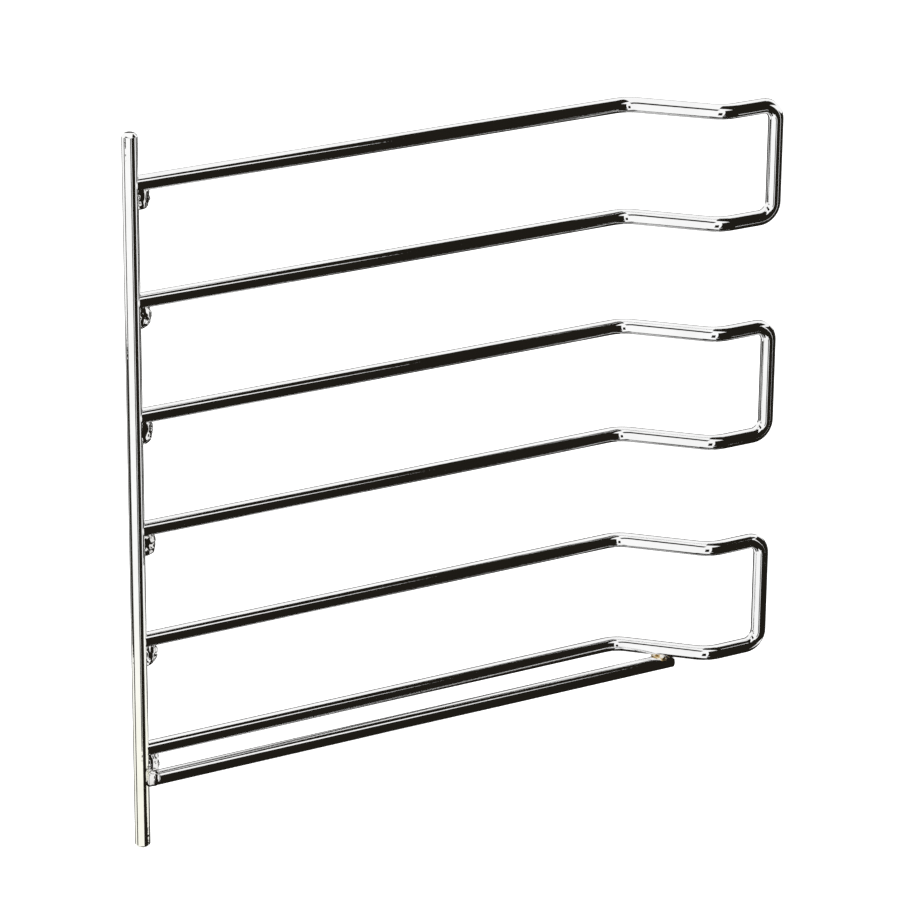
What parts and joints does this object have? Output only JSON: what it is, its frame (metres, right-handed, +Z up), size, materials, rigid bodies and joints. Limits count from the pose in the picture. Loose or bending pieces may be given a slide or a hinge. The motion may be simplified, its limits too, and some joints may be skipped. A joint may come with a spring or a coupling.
{
  "type": "tie and belt rack",
  "caption": "Swing-out wardrobe rack: an upright pivot rod carries welded loops of bent chrome wire with offset ends and a brace below, for ties and belts.",
  "frame": {"origin": "centre of the pivot rod's lower end face", "axes": "+Z up the pivot rod, +X out along the arms, -Y the side the free ends are set over to"},
  "size_m": [0.356, 0.044, 0.38],
  "materials": {
    "rod_chrome": "bright chrome plate on a ground steel rod",
    "wire_chrome": "bright chrome plate on drawn steel wire",
    "weld_chrome": "chrome plate over a rippled weld bead",
    "brazed_metal": "small golden brazed bead, slightly heat-tinted"
  },
  "bodies": {
    "root": {"pivot_rod": "rod_chrome", "upper_loop": "wire_chrome", "middle_loop": "wire_chrome", "lower_loop": "wire_chrome", "bottom_brace": "wire_chrome", "upper_loop_top_weld": "weld_chrome", "upper_loop_bottom_weld": "weld_chrome", "middle_loop_top_weld": "weld_chrome", "middle_loop_bottom_weld": "weld_chrome", "lower_loop_top_weld": "weld_chrome", "lower_loop_bottom_weld": "weld_chrome", "brace_rear_weld": "weld_chrome", "brace_front_weld": "brazed_metal"}
  },
  "joints": []
}
